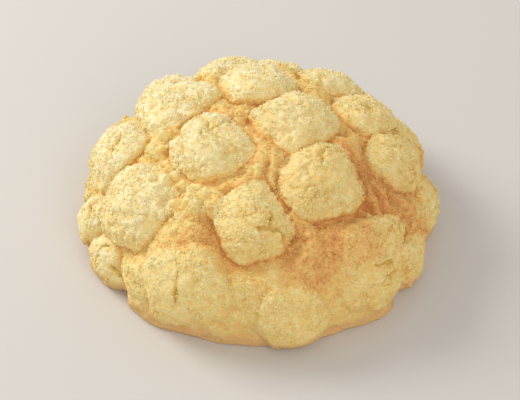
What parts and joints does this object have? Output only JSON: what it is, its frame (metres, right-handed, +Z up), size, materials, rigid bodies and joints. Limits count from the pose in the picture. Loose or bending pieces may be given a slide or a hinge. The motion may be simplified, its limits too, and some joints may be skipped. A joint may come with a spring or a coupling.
{
  "type": "melon pan bun",
  "caption": "Round domed sweet bread bun with a biscuit crust that has puffed into soft square cushions, flat underneath.",
  "frame": {"origin": "middle of the outline on the flat underside", "axes": "+Z up from the underside to the crown; -Y towards the side seen in the picture"},
  "size_m": [0.111, 0.1118, 0.0458],
  "materials": {
    "biscuit_crust": null
  },
  "bodies": {
    "root": {"bun": "biscuit_crust"}
  },
  "joints": []
}
